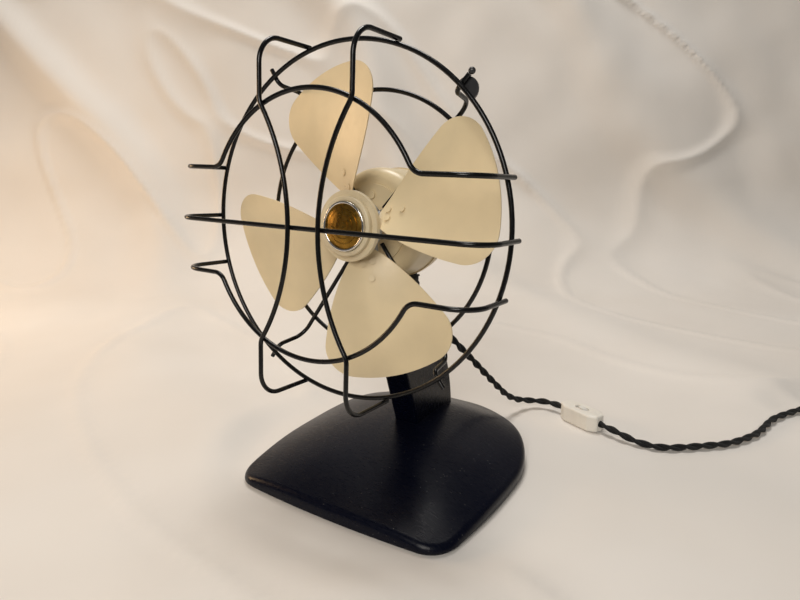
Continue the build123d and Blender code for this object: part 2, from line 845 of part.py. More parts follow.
rivet_radius = 1.5
rivet_spots = ((31, -6), (31, 6), (44, 0))


def rivet_planes(behind):
    """A plane square to the blade at each rivet, behind the blade's front, x to the rear."""
    planes = []
    for number in range(blade_count):
        for radius, aside in rivet_spots:
            place = blade_offset + number * 360 / blade_count + aside
            turn = math.radians(aside)
            angle = math.radians(place)
            around = Vector(-math.sin(angle), 0, 0) + up_dir * math.cos(angle)
            normal = (back_dir - around * (blade_pitch / radius)).normalized()
            origin = head_polar(radius, place, blade_depth(radius, turn)) + normal * behind
            planes.append(Plane(origin=origin, z_dir=normal))
    return planes


with BuildPart() as blade_rivets:
    for plane in rivet_planes(-0.4):
        with BuildSketch(plane) as rivet_shank:
            Circle(rivet_radius)
        extrude(rivet_shank.sketch, amount=2.9)
        with BuildSketch(plane) as rivet_head:
            Circle(2.6)
        extrude(rivet_head.sketch, amount=-0.9)
write(blade_rivets.part, "blade_rivets")

with BuildPart() as rivet_clearance:
    for plane in rivet_planes(-3):
        with BuildSketch(plane) as shank_room:
            Circle(rivet_radius)
        extrude(shank_room.sketch, amount=9)
    for plane in rivet_planes(-0.4):
        with BuildSketch(plane) as head_room:
            Circle(2.6)
        extrude(head_room.sketch, amount=-3)

for number in range(blade_count):
    blade_angle = blade_offset + number * 360 / blade_count
    surface = blade_slab(blade_angle, 0, 12, 132, blade_half_angle + 7)
    with BuildPart() as blade:
        extrude(surface, amount=blade_sheet, dir=tuple(back_dir))
        with BuildSketch(head_front(-30)) as blade_outline:
            petal(blade_angle)
        extrude(blade_outline.sketch, amount=-90, mode=Mode.INTERSECT)
        add(rivet_clearance.part, mode=Mode.SUBTRACT)
    write(blade.part, f"blade_{number + 1}")

arm_reach = 54.0
arm_half_width = 7.0
with BuildPart() as blade_spider:
    with BuildSketch(head_side) as spider_disc:
        ring_profile(blade_middle - 1, blade_middle + 5, hub_boss_radius, spider_radius)
    revolve(spider_disc.sketch, axis=fan_axis)
    for number in range(blade_count):
        blade_angle = blade_offset + number * 360 / blade_count
        surface = blade_slab(blade_angle, blade_sheet, 12, 132, blade_half_angle + 7)
        with BuildPart(mode=Mode.PRIVATE) as arm:
            extrude(surface, amount=blade_sheet, dir=tuple(back_dir))
        with BuildSketch(head_front(-30)) as arm_outline:
            with Locations(Location((0, 0, 0), (0, 0, blade_angle))):
                with Locations(((arm_reach + 17) / 2, 0)):
                    SlotOverall(arm_reach - 5, 2 * arm_half_width)
        arm_piece = arm.part & extrude(arm_outline.sketch, amount=-90, mode=Mode.PRIVATE)
        add(arm_piece)
    add(rivet_clearance.part, mode=Mode.SUBTRACT)
write(blade_spider.part, "blade_spider")

set_screw_back = 22.0
hub_boss_front = 4.0
hub_boss_back = 27.0
with BuildPart() as set_screw:
    screw_plane = Plane(origin=head_polar(shaft_radius, 90, set_screw_back), z_dir=up_dir)
    with BuildSketch(screw_plane) as screw_disc:
        Circle(2)
    extrude(screw_disc.sketch, amount=hub_boss_radius - shaft_radius - 0.4)
    with BuildSketch(screw_plane.offset(hub_boss_radius - shaft_radius - 0.4)) as driver_slot:
        Rectangle(4.4, 0.6)
    extrude(driver_slot.sketch, amount=-1, mode=Mode.SUBTRACT)
write(set_screw.part, "set_screw")

with BuildPart() as hub_boss:
    with BuildSketch(head_side) as boss_section:
        ring_profile(hub_boss_front, hub_boss_back, shaft_radius, hub_boss_radius)
    revolve(boss_section.sketch, axis=fan_axis)
    with BuildSketch(screw_plane.offset(-shaft_radius)) as screw_hole:
        Circle(2)
    extrude(screw_hole.sketch, amount=hub_boss_radius, mode=Mode.SUBTRACT)
write(hub_boss.part, "hub_boss")

# ---------------------------------------------------------------- hub cap and badge
cap_step_radius = 23.5
cap_front = -2.5
cap_wall = 1.6
cap_tube = 9.0
cap_skirt = 6.2
with BuildPart() as hub_cap:
    with BuildSketch(head_side) as cap_section:
        with BuildLine() as cap_outline:
            Polyline(
                (cap_skirt, hub_radius),
                (2, hub_radius),
                (2, cap_step_radius),
                (cap_front, cap_step_radius),
                (cap_front, badge_radius + 2),
                (0, badge_radius + 2),
                (0, 0),
                (cap_wall, 0),
                (cap_wall, hub_boss_radius),
                (cap_tube, hub_boss_radius),
                (cap_tube, hub_boss_radius + 2.5),
                (2 + cap_wall, hub_boss_radius + 2.5),
                (2 + cap_wall, hub_radius - cap_wall),
                (cap_skirt, hub_radius - cap_wall),
                close=True,
            )
        cap_face = make_face(cap_outline.edges())
        front_rims = cap_face.vertices().group_by(Axis.X)[0]
        fillet(front_rims, radius=1.2)
    revolve(cap_section.sketch, axis=fan_axis)
write(hub_cap.part, "hub_cap")

badge_edge = 3.0  # thickness of the badge at its edge
badge_dome = 2.4  # how much further forward its middle stands
badge_flat = 2.5  # radius of the small flat in its middle
badge_grooves = (5.0, 9.0, 13.0)  # inner radius of each turned groove
with BuildPart() as badge:
    with BuildSketch(head_side) as badge_section:
        with BuildLine() as badge_outline:
            Line((0, 0), (0, badge_radius))
            Line((0, badge_radius), (-badge_edge, badge_radius))
            ThreePointArc(
                (-badge_edge, badge_radius),
                (-badge_edge - 0.78 * badge_dome, badge_radius / 2),
                (-badge_edge - badge_dome, badge_flat),
            )
            Line((-badge_edge - badge_dome, badge_flat), (-badge_edge - badge_dome, 0))
            Line((-badge_edge - badge_dome, 0), (0, 0))
        make_face(badge_outline.edges())
    revolve(badge_section.sketch, axis=fan_axis)
    with BuildSketch(head_side) as groove_section:
        for groove in badge_grooves:
            depth = badge_edge + badge_dome * (1 - (groove / badge_radius) ** 2)
            ring_profile(-badge_edge - 4, 0.4 - depth, groove, groove + 0.7)
    revolve(groove_section.sketch, axis=fan_axis, mode=Mode.SUBTRACT)
write(badge.part, "badge")

with BuildPart() as badge_bezel:
    with BuildSketch(head_side) as bezel_section:
        ring_profile(-4.4, 0, badge_radius, badge_radius + 2)
        fillet(bezel_section.vertices().group_by(Axis.X)[0], radius=0.8)
    revolve(bezel_section.sketch, axis=fan_axis)
write(badge_bezel.part, "badge_bezel")

# ---------------------------------------------------------------- cord
cord_radius = cord_diameter / 2
floor_height = cord_radius  # the cord's middle when it lies on the table
cord_exit = head_polar(motor_radius + 3.5, grommet_angle, grommet_back)
switch_front = (103.9, 178.2, 9.0)
switch_rear = (149.6, 157.9, 9.0)

# From the motor, straight out, over the back of the base and down to the switch.
upper_route = [
    tuple(head_polar(motor_radius - 3, grommet_angle, grommet_back)),
    tuple(head_polar(71.0, grommet_angle, grommet_back)),
    (20.0, 20.0, 143.0),
    (27.0, 52.0, 112.0),
    (36.0, 84.0, 80.0),
    (44.0, 116.0, 48.0),
    (51.0, 149.0, 18.0),
    (63.5, 178.5, 8.0),
    (87.0, 186.0, 9.0),
    (106.8, 177.0, 9.0),
]

# From the switch, along the table to the coil.
floor_route = [
    (146.7, 159.2, 9.0),
    (167.0, 150.2, 9.0),
    (189.0, 145.5, 4.6),
    (211.0, 147.0, floor_height),
    (230.0, 159.0, floor_height),
    (250.0, 176.0, floor_height),
    (269.0, 192.0, floor_height),
    (283.0, 214.0, floor_height),
    (294.0, 236.0, floor_height),
    (299.0, 259.0, floor_height),
    (305.0, 283.0, floor_height),
    (318.0, 306.0, floor_height),
    (335.0, 333.0, floor_height),
    (356.0, 365.0, floor_height),
]

coil_middle = (390.5, 339.8)
coil_radius = 36.0  # the middle of the turns
coil_across = 3  # turns side by side
coil_layers = 2

# From the coil's outer turn to the plug.
tail_route = [
    (421.0, 370.4, floor_height),
    (438.0, 353.0, 6.0),
    (448.0, 332.0, 9.0),
    (448.0, 310.0, 9.0),
]


def cord_tube(points):
    """A round tube along a hand-laid route, every corner an arc as wide as its runs allow."""
    runs = [math.dist(points[i], points[i + 1]) for i in range(len(points) - 1)]
    radii = []
    for i in range(1, len(points) - 1):
        ahead = (Vector(*points[i + 1]) - Vector(*points[i])).normalized()
        behind = (Vector(*points[i]) - Vector(*points[i - 1])).normalized()
        half_turn = math.acos(min(1, ahead.dot(behind))) / 2
        radii.append(min(0.45 * min(runs[i - 1], runs[i]) / math.tan(half_turn), 400))
    with BuildPart() as tube:
        with BuildLine() as route:
            FilletPolyline(*points, radius=radii)
        start = Plane(origin=route.line @ 0, z_dir=route.line % 0)
        with BuildSketch(start) as section:
            Circle(cord_radius)
        sweep(section.sketch, path=route.line)
    length = route.wires()[0].length
    print("cord runs", [round(run) for run in runs], "radii", [round(r) for r in radii])
    print("length", round(length, 1), "volume share", tube.part.volume / length / math.pi / cord_radius**2)
    return tube.part


cord_upper = cord_tube(upper_route)
write(cord_upper, "cord_upper")
cord_floor = cord_tube(floor_route)
write(cord_floor, "cord_floor")
cord_tail = cord_tube(tail_route)
write(cord_tail, "cord_tail")

coil_half_width = (coil_across * cord_diameter) / 2
coil_height = coil_layers * cord_diameter
with BuildPart() as cord_coil:
    with BuildSketch(Plane.XY.offset(0.6)) as coil_ring:
        with Locations(coil_middle):
            Circle(coil_radius + coil_half_width)
            Circle(coil_radius - coil_half_width, mode=Mode.SUBTRACT)
    extrude(coil_ring.sketch, amount=coil_height)
    fillet(cord_coil.edges().filter_by(GeomType.CIRCLE), radius=2.4)
write(cord_coil.part, "cord_coil")

tie_angle = -45.0
with BuildPart() as cord_tie:
    tie_origin = (
        coil_middle[0] + coil_radius * math.cos(math.radians(tie_angle)),
        coil_middle[1] + coil_radius * math.sin(math.radians(tie_angle)),
        coil_height / 2 + 0.6,
    )
    outward = Vector(math.cos(math.radians(tie_angle)), math.sin(math.radians(tie_angle)), 0)
    tie_plane = Plane(origin=tie_origin, x_dir=outward, z_dir=outward.cross(Vector(0, 0, 1)))
    with BuildSketch(tie_plane) as tie_section:
        RectangleRounded(2 * coil_half_width + 2.2, coil_height + 1.2, radius=2.8)
    extrude(tie_section.sketch, amount=4, both=True)
    with BuildSketch(tie_plane) as tie_tail:
        with Locations((coil_half_width + 2.5, 0)):
            Rectangle(5, 2.4)
    extrude(tie_tail.sketch, amount=2, both=True)
    add(cord_coil.part, mode=Mode.SUBTRACT)
write(cord_tie.part, "cord_tie")

with BuildPart() as cord_grommet:
    with BuildSketch(grommet_plane) as grommet_neck:
        Circle(grommet_neck_radius)
    extrude(grommet_neck.sketch, amount=7)
    with BuildSketch(grommet_plane.offset(4.5)) as grommet_flange:
        Circle(7)
    extrude(grommet_flange.sketch, amount=2)
    with BuildSketch(grommet_plane.offset(-1)) as grommet_bore:
        Circle(cord_radius)
    extrude(grommet_bore.sketch, amount=12, mode=Mode.SUBTRACT)
write(cord_grommet.part, "cord_grommet")

# ---------------------------------------------------------------- inline switch
switch_length = math.dist(switch_front, switch_rear)
switch_width = 22.0
switch_height = 18.0
switch_wall = 2.0
switch_way = (Vector(*switch_rear) - Vector(*switch_front)).normalized()
switch_middle = (Vector(*switch_front) + Vector(*switch_rear)) * 0.5
switch_floor = Plane(origin=(switch_middle.X, switch_middle.Y, 0), x_dir=switch_way, z_dir=(0, 0, 1))
wheel_radius = 7.5
wheel_width = 6.0
wheel_height = 12.0
axle_radius = 1.5
switch_screw_spots = ((13.0, 5.6), (-13.0, -5.6))


def switch_outline(inset):
    """Plan of the switch in the current sketch: parallel in the middle, narrower at both ends."""
    end = switch_length / 2 - inset
    half = switch_width / 2 - inset
    with BuildLine() as outline:
        Polyline(
            (end, 5.5 - inset / 2),
            (end - 9, half),
            (9 - end, half),
            (-end, 5.5 - inset / 2),
            (-end, inset / 2 - 5.5),
            (9 - end, -half),
            (end - 9, -half),
            (end, inset / 2 - 5.5),
            close=True,
        )
    face = make_face(outline.edges())
    fillet(face.vertices(), radius=3.0 - inset / 2)


def switch_block(low, high):
    """The switch's rounded outer body between two heights."""
    with BuildPart() as block:
        with BuildSketch(switch_floor) as plan:
            switch_outline(0)
        extrude(plan.sketch, amount=switch_height)
        fillet(block.faces().sort_by(Axis.Z)[-1].edges(), radius=2.4)
        fillet(block.faces().sort_by(Axis.Z)[0].edges(), radius=1.2)
        with BuildSketch(switch_floor.offset(low)) as layer:
            Rectangle(2 * switch_length, 2 * switch_width)
        extrude(layer.sketch, amount=high - low, mode=Mode.INTERSECT)
    return block.part


def cord_entries():
    """Cuts the two cord holes through the ends of the switch."""
    for place, way in ((upper_route[-1], switch_way * -1), (floor_route[0], switch_way)):
        with BuildSketch(Plane(origin=Vector(*place) - way * 1, z_dir=way)) as hole:
            Circle(cord_radius)
        extrude(hole.sketch, amount=8, mode=Mode.SUBTRACT)


seam_height = switch_height / 2
with BuildPart() as switch_lower_shell:
    add(switch_block(0, seam_height))
    with BuildSketch(switch_floor.offset(switch_wall)) as lower_room:
        switch_outline(switch_wall)
    extrude(lower_room.sketch, amount=switch_height, mode=Mode.SUBTRACT)
    with BuildSketch(switch_floor.offset(1)) as wheel_cradles:
        with Locations((0, 5.6), (0, -5.6)):
            Rectangle(7, 3.4)
    extrude(wheel_cradles.sketch, amount=wheel_height + 1.2)
    with BuildSketch(switch_floor.offset(1)) as screw_posts:
        with Locations(*switch_screw_spots):
            Circle(3)
    extrude(screw_posts.sketch, amount=seam_height - 1)
    with BuildSketch(switch_floor) as screw_ways:
        with Locations(*switch_screw_spots):
            Circle(1.5)
    extrude(screw_ways.sketch, amount=seam_height, mode=Mode.SUBTRACT)
    with BuildSketch(switch_floor) as screw_seats:
        with Locations(*switch_screw_spots):
            Circle(2.6)
    extrude(screw_seats.sketch, amount=3, mode=Mode.SUBTRACT)
    axle_plane = Plane(origin=(0, 0, 0), x_dir=(1, 0, 0), z_dir=(0, 1, 0))
    axle_middle = switch_middle + Vector(0, 0, wheel_height - switch_middle.Z)
    across_way = Vector(-switch_way.Y, switch_way.X, 0)
    with BuildSketch(Plane(origin=axle_middle, z_dir=across_way)) as axle_hole:
        Circle(axle_radius + shaft_fit)
    extrude(axle_hole.sketch, amount=8.2, both=True, mode=Mode.SUBTRACT)
    cord_entries()
write(switch_lower_shell.part, "switch_lower_shell")

with BuildPart() as switch_upper_shell:
    add(switch_block(seam_height, switch_height))
    with BuildSketch(switch_floor) as upper_room:
        switch_outline(switch_wall)
    extrude(upper_room.sketch, amount=switch_height - switch_wall, mode=Mode.SUBTRACT)
    with BuildSketch(switch_floor) as wheel_slot:
        SlotOverall(17, wheel_width + 1.2)
    extrude(wheel_slot.sketch, amount=switch_height + 1, mode=Mode.SUBTRACT)
    with BuildSketch(switch_floor.offset(seam_height)) as screw_bosses:
        with Locations(*switch_screw_spots):
            Circle(3)
    extrude(screw_bosses.sketch, amount=switch_height - seam_height - 1)
    with BuildSketch(switch_floor.offset(seam_height)) as pilot_holes:
        with Locations(*switch_screw_spots):
            Circle(1.5)
    extrude(pilot_holes.sketch, amount=4, mode=Mode.SUBTRACT)
    cord_entries()
write(switch_upper_shell.part, "switch_upper_shell")

wheel_ridges = 20
with BuildPart() as switch_wheel:
    wheel_plane = Plane(origin=axle_middle, x_dir=switch_way, z_dir=across_way)
    with BuildSketch(wheel_plane) as wheel_section:
        Circle(wheel_radius)
        with PolarLocations(wheel_radius, wheel_ridges):
            Circle(0.45, mode=Mode.SUBTRACT)
    extrude(wheel_section.sketch, amount=wheel_width / 2, both=True)
    with BuildSketch(wheel_plane) as axle_section:
        Circle(axle_radius)
    extrude(axle_section.sketch, amount=7.4, both=True)
write(switch_wheel.part, "switch_wheel")

with BuildPart() as switch_screws:
    with BuildSketch(switch_floor.offset(3)) as screw_shanks:
        with Locations(*switch_screw_spots):
            Circle(1.5)
    extrude(screw_shanks.sketch, amount=seam_height + 3.5 - 3)
    with BuildSketch(switch_floor.offset(1)) as screw_heads:
        with Locations(*switch_screw_spots):
            Circle(2.5)
    extrude(screw_heads.sketch, amount=2)
    with BuildSketch(switch_floor.offset(1)) as driver_slots:
        with Locations(*switch_screw_spots):
            Rectangle(6, 0.7)
    extrude(driver_slots.sketch, amount=0.9, mode=Mode.SUBTRACT)
write(switch_screws.part, "switch_screws")

with BuildPart() as switch_contacts:
    with BuildSketch(switch_floor.offset(switch_wall)) as contact_strips:
        with Locations((13, -3), (-13, 3)):
            Rectangle(9, 3)
    extrude(contact_strips.sketch, amount=1)
    with BuildSketch(switch_floor.offset(switch_wall)) as contact_springs:
        with Locations((9.1, -3), (-9.1, 3)):
            Rectangle(0.8, 3)
    extrude(contact_springs.sketch, amount=5)
write(switch_contacts.part, "switch_contacts")

# ---------------------------------------------------------------- plug
plug_height = 17.0
plug_length = 34.0
plug_back = 316.0  # where the cord goes in
plug_x = 448.0
blade_gap = 12.7
with BuildPart() as plug_body:
    with BuildSketch(Plane(origin=(plug_x, plug_back, 9.0), x_dir=(1, 0, 0), z_dir=(0, -1, 0))) as plug_rear:
        RectangleRounded(11, 11, radius=4)
    with BuildSketch(
        Plane(origin=(plug_x, plug_back - 12, 9.0), x_dir=(1, 0, 0), z_dir=(0, -1, 0))
    ) as plug_waist:
        RectangleRounded(22, plug_height, radius=4)
    loft([plug_rear.sketch, plug_waist.sketch])
    extrude(plug_waist.sketch, amount=plug_length - 12)
    with BuildSketch(
        Plane(origin=(plug_x, plug_back, 9.0), x_dir=(1, 0, 0), z_dir=(0, -1, 0))
    ) as plug_bore:
        Circle(cord_radius)
    extrude(plug_bore.sketch, amount=6, mode=Mode.SUBTRACT)
    with BuildSketch(
        Plane(origin=(plug_x, plug_back - plug_length, 9.0), x_dir=(1, 0, 0), z_dir=(0, -1, 0))
    ) as blade_roots:
        with Locations((blade_gap / 2, 0), (-blade_gap / 2, 0)):
            Rectangle(1.5, 6.3)
    extrude(blade_roots.sketch, amount=-12, mode=Mode.SUBTRACT)
write(plug_body.part, "plug_body")

with BuildPart() as plug_blades:
    extrude(blade_roots.sketch, amount=-12)
    extrude(blade_roots.sketch, amount=17.5)
    tips = plug_blades.edges().filter_by(Axis.X).group_by(Axis.Y)[0]
    chamfer(tips, length=1.5)
write(plug_blades.part, "plug_blades")
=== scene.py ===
"""Looks of the caged desk fan: camera, light, cords and one material for every slot."""
import json
import math

import bpy
from mathutils import Matrix, Vector, noise


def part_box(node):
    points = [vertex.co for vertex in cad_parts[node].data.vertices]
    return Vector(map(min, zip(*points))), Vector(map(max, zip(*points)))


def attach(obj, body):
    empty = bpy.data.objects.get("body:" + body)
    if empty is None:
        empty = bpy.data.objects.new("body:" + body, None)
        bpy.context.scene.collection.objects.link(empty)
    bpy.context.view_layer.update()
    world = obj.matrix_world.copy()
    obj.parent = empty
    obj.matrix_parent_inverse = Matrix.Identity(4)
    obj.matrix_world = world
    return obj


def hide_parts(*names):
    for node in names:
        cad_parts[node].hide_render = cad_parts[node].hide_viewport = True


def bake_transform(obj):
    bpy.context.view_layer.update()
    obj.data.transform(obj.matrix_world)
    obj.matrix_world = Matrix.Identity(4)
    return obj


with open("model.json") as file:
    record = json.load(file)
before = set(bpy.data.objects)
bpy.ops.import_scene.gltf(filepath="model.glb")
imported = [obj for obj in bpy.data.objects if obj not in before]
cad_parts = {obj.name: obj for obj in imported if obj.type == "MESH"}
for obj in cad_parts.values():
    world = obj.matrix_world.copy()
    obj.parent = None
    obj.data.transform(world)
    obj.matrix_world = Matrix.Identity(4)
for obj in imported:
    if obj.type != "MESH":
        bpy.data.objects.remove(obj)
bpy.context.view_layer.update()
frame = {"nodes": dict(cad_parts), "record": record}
scene = bpy.context.scene
collection = scene.collection


# ---------------------------------------------------------------- camera
CAMERA_X, CAMERA_Y, CAMERA_HEIGHT = 0.2925, -0.4636, 0.3070


def make_camera():
    """The camera stands in front of the fan, a little above it and to its right."""
    right = Vector((0.8447, 0.5352, -0.0047))
    up = Vector((-0.1339, 0.2198, 0.9663))
    forward = Vector((-0.5182, 0.8156, -0.2574))
    data = bpy.data.cameras.new("camera")
    data.lens = 27.76
    data.sensor_width = 36
    data.clip_start = 0.01
    camera = bpy.data.objects.new("camera", data)
    rotation = Matrix((right, up, -forward)).transposed()
    camera.matrix_world = Matrix.Translation((CAMERA_X, CAMERA_Y, CAMERA_HEIGHT)) @ rotation.to_4x4()
    collection.objects.link(camera)
    scene.camera = camera


make_camera()


# ---------------------------------------------------------------- material helpers
class Shader:
    """A material being built: adds nodes and links them with few words."""

    def __init__(self, name):
        self.material = bpy.data.materials.new(name)
        self.material.use_nodes = True
        self.nodes = self.material.node_tree.nodes
        self.links = self.material.node_tree.links
        self.surface = self.nodes["Principled BSDF"]
        self.place = self.nodes.new("ShaderNodeTexCoord").outputs["Object"]

    def set(self, **values):
        """Fixed values for the surface's inputs, by name."""
        for socket, value in values.items():
            self.surface.inputs[socket.replace("_", " ")].default_value = value
        return self

    def feed(self, socket, source):
        """A node's output goes to one of the surface's inputs."""
        self.links.new(source, self.surface.inputs[socket])

    def node(self, kind, settings=(), **inputs):
        """A node of one kind: values and outputs go to its inputs by name."""
        node = self.nodes.new(kind)
        for name, value in settings:
            setattr(node, name, value)
        for name, value in inputs.items():
            socket = node.inputs[name.replace("_", " ")]
            if isinstance(value, bpy.types.NodeSocket):
                self.links.new(value, socket)
            else:
                socket.default_value = value
        return node

    def noise(self, scale, detail=3.0, vector=None):
        """Soft noise of one scale, as a number."""
        node = self.node("ShaderNodeTexNoise", Scale=scale, Detail=detail, Vector=vector or self.place)
        return node.outputs["Fac"]

    def stretch(self, scale):
        """The place on the object with each axis scaled."""
        node = self.node("ShaderNodeMapping", Vector=self.place, Scale=scale)
        return node.outputs["Vector"]

    def ramp(self, source, *stops):
        """Maps a number through colour stops of (position, colour)."""
        node = self.node("ShaderNodeValToRGB", Fac=source)
        ramp = node.color_ramp
        while len(ramp.elements) < len(stops):
            ramp.elements.new(0.5)
        for element, (position, colour) in zip(ramp.elements, stops):
            element.position = position
            element.color = colour if len(colour) == 4 else (*colour, 1)
        return node.outputs["Color"]

    def grey(self, source, *stops):
        """Maps a number through stops of (position, level)."""
        return self.ramp(source, *[(at, (level, level, level)) for at, level in stops])

    def mix(self, share, first, second):
        """Blends two colours: share 0 gives the first and 1 the second."""
        node = self.node("ShaderNodeMix", settings=[("data_type", "RGBA")])
        for socket, value in ((0, share), (6, first), (7, second)):
            if isinstance(value, bpy.types.NodeSocket):
                self.links.new(value, node.inputs[socket])
            elif socket == 0:
                node.inputs[0].default_value = value
            else:
                node.inputs[socket].default_value = (*value, 1)
        return node.outputs[2]

    def bump(self, height, strength, distance=0.0005):
        """Fine relief from a number, on the whole surface."""
        node = self.node("ShaderNodeBump", Height=height, Strength=strength, Distance=distance)
        self.feed("Normal", node.outputs["Normal"])
        return self

    def upward(self):
        """1 on surfaces that face up, where dust settles."""
        normal = self.node("ShaderNodeNewGeometry").outputs["Normal"]
        split = self.node("ShaderNodeSeparateXYZ", Vector=normal)
        return self.node("ShaderNodeClamp", Value=split.outputs["Z"]).outputs["Result"]

    def maths(self, operation, *values, kind="ShaderNodeMath", output="Value"):
        """One sum on numbers, or on vectors when the kind says so."""
        node = self.node(kind, settings=[("operation", operation)])
        for socket, value in zip(node.inputs, values):
            if isinstance(value, bpy.types.NodeSocket):
                self.links.new(value, socket)
            else:
                socket.default_value = value
        return node.outputs[output]

    def vector_maths(self, operation, *values, output="Vector"):
        return self.maths(operation, *values, kind="ShaderNodeVectorMath", output=output)

    def times(self, first, second):
        return self.maths("MULTIPLY", first, second)

    def worn_edges(self, radius=0.0012):
        """1 along sharp edges: the rounded normal leaves the true one there."""
        bevel = self.node("ShaderNodeBevel", settings=[("samples", 4)], Radius=radius)
        true = self.node("ShaderNodeNewGeometry").outputs["Normal"]
        likeness = self.vector_maths("DOT_PRODUCT", bevel.outputs["Normal"], true, output="Value")
        return self.grey(likeness, (0.82, 1.0), (0.97, 0.0))


DUST = (0.42, 0.4, 0.37)
LINT = (0.5, 0.49, 0.46)


def enamel(name, colour, worn, roughness, dust, speck=0.0, gloss=0.5):
    """Sprayed and baked enamel: faint ripple, fine scratches, dust on top and worn edges."""
    s = Shader(name)
    patches = s.noise(38, 4)
    darker = tuple(0.93 * level for level in colour)
    base = s.mix(s.grey(patches, (0.35, 0.0), (0.7, 1.0)), darker, colour)
    rubbed = s.times(s.worn_edges(), s.grey(s.noise(260, 2), (0.45, 0.0), (0.7, 0.5)))
    base = s.mix(rubbed, base, worn)
    settled = s.times(s.upward(), s.grey(s.noise(900, 5), (0.56, 0.0), (0.66, dust)))
    base = s.mix(settled, base, DUST)
    if speck:
        specks = s.node("ShaderNodeTexVoronoi", Vector=s.place, Scale=240).outputs["Distance"]
        near_specks = s.grey(specks, (0.045, 1.0), (0.07, 0.0))
        chosen = s.times(near_specks, s.grey(s.noise(22), (0.5, 0.0), (0.6, speck)))
        base = s.mix(chosen, base, LINT)
    s.feed("Base Color", base)
    scratches = s.noise(160, 3, s.stretch((1, 7, 1)))
    s.feed("Roughness", s.grey(scratches, (0.35, roughness), (0.8, roughness + 0.14)))
    s.set(Specular_IOR_Level=gloss)
    return s.bump(s.noise(420, 4), 0.06, 0.0004).material


def turned_metal(name, colour, roughness, rings=0.0, spots=0.0):
    """Bare metal, either turned in fine rings or rolled, with dull spots."""
    s = Shader(name)
    s.set(Metallic=1.0)
    dull = tuple(0.45 * level for level in colour)
    share = s.grey(s.noise(140, 4), (0.45, 0.0), (0.75, spots))
    s.feed("Base Color", s.mix(share, colour, dull))
    grain = s.noise(700, 3, s.stretch((1, 6, 1)))
    s.feed("Roughness", s.grey(grain, (0.3, roughness), (0.8, roughness + 0.15)))
    return s.bump(grain, 0.08 + rings, 0.0002).material


def gold_badge(name):
    """Turned brass: concentric rings round the fan's axis and a dark, spotted centre."""
    s = Shader(name)
    s.set(Metallic=1.0)
    low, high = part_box("badge")
    moved = s.vector_maths("SUBTRACT", s.place, (low + high) / 2)
    flat = s.vector_maths("MULTIPLY", moved, (1, 0.08, 1))
    distance = s.vector_maths("LENGTH", flat, output="Value")
    rings = s.maths("SINE", s.times(distance, 9000.0))
    tarnish = s.grey(s.noise(120, 4), (0.35, 0.0), (0.75, 0.8))
    s.feed("Base Color", s.mix(tarnish, (0.36, 0.2, 0.035), (0.16, 0.08, 0.012)))
    s.feed("Roughness", s.grey(s.noise(300, 3), (0.3, 0.22), (0.8, 0.42)))
    return s.bump(rings, 0.25, 0.00005).material


def moulding(name, colour, roughness, grain=0.05, tint=0.9):
    """Moulded plastic or rubber: a fine skin and slight shade changes."""
    s = Shader(name)
    shade = tuple(tint * level for level in colour)
    base = s.mix(s.grey(s.noise(60, 3), (0.35, 0.0), (0.7, 1.0)), colour, shade)
    dusty = s.times(s.upward(), s.grey(s.noise(800, 4), (0.58, 0.0), (0.7, 0.3)))
    s.feed("Base Color", s.mix(dusty, base, (0.4, 0.38, 0.35)))
    s.feed("Roughness", s.grey(s.noise(500, 3), (0.3, roughness), (0.8, roughness + 0.12)))
    s.set(Subsurface_Weight=0.03 if roughness < 0.4 else 0.0, Subsurface_Radius=(0.002, 0.0015, 0.001))
    return s.bump(s.noise(1400, 3), grain, 0.0002).material


def laminations(name):
    """Edges of stacked steel sheets, each 0.5 mm."""
    s = Shader(name)
    s.set(Metallic=0.9)
    wave = s.node(
        "ShaderNodeTexWave",
        settings=[("bands_direction", "Y")],
        Vector=s.place,
        Scale=310.0,
        Distortion=0.3,
    ).outputs["Fac"]
    s.feed("Base Color", s.mix(wave, (0.16, 0.16, 0.17), (0.36, 0.35, 0.34)))
    s.set(Roughness=0.45)
    return s.bump(wave, 0.3, 0.0001).material


def winding(name):
    """Varnished copper wire laid in rows."""
    s = Shader(name)
    s.set(Metallic=0.6, Roughness=0.3, Coat_Weight=0.5)
    wave = s.node("ShaderNodeTexWave", Vector=s.place, Scale=420.0, Distortion=1.2).outputs["Fac"]
    s.feed("Base Color", s.mix(wave, (0.16, 0.05, 0.015), (0.55, 0.22, 0.08)))
    return s.bump(wave, 0.6, 0.0002).material


def felt(name):
    """Oiled felt of the bearing wicks."""
    s = Shader(name)
    s.set(Roughness=0.95, Sheen_Weight=0.5)
    fibres = s.noise(1800, 5)
    s.feed("Base Color", s.mix(fibres, (0.45, 0.38, 0.24), (0.78, 0.72, 0.58)))
    return s.bump(fibres, 0.7, 0.0005).material


def braid(name):
    """Black cotton braid over each strand, woven along the strand's own length."""
    s = Shader(name)
    along = s.node("ShaderNodeUVMap").outputs["UV"]
    weave_angle = math.radians(38)
    weave = []
    for lean in (weave_angle, -weave_angle):
        turned = s.node("ShaderNodeMapping", Vector=along, Rotation=(0, 0, lean)).outputs["Vector"]
        wave = s.node("ShaderNodeTexWave", Vector=turned, Scale=330.0, Distortion=0.4)
        weave.append(wave.outputs["Fac"])
    crossed = s.maths("MAXIMUM", *weave)
    fuzz = s.noise(2600, 4)
    threads = s.mix(crossed, (0.002, 0.002, 0.0025), (0.009, 0.009, 0.0095))
    s.feed("Base Color", s.mix(s.grey(fuzz, (0.5, 0.0), (0.8, 0.2)), threads, (0.03, 0.029, 0.028)))
    s.set(Roughness=0.75, Sheen_Weight=0.08, Sheen_Roughness=0.5, Specular_IOR_Level=0.25)
    return s.bump(crossed, 0.9, 0.0004).material


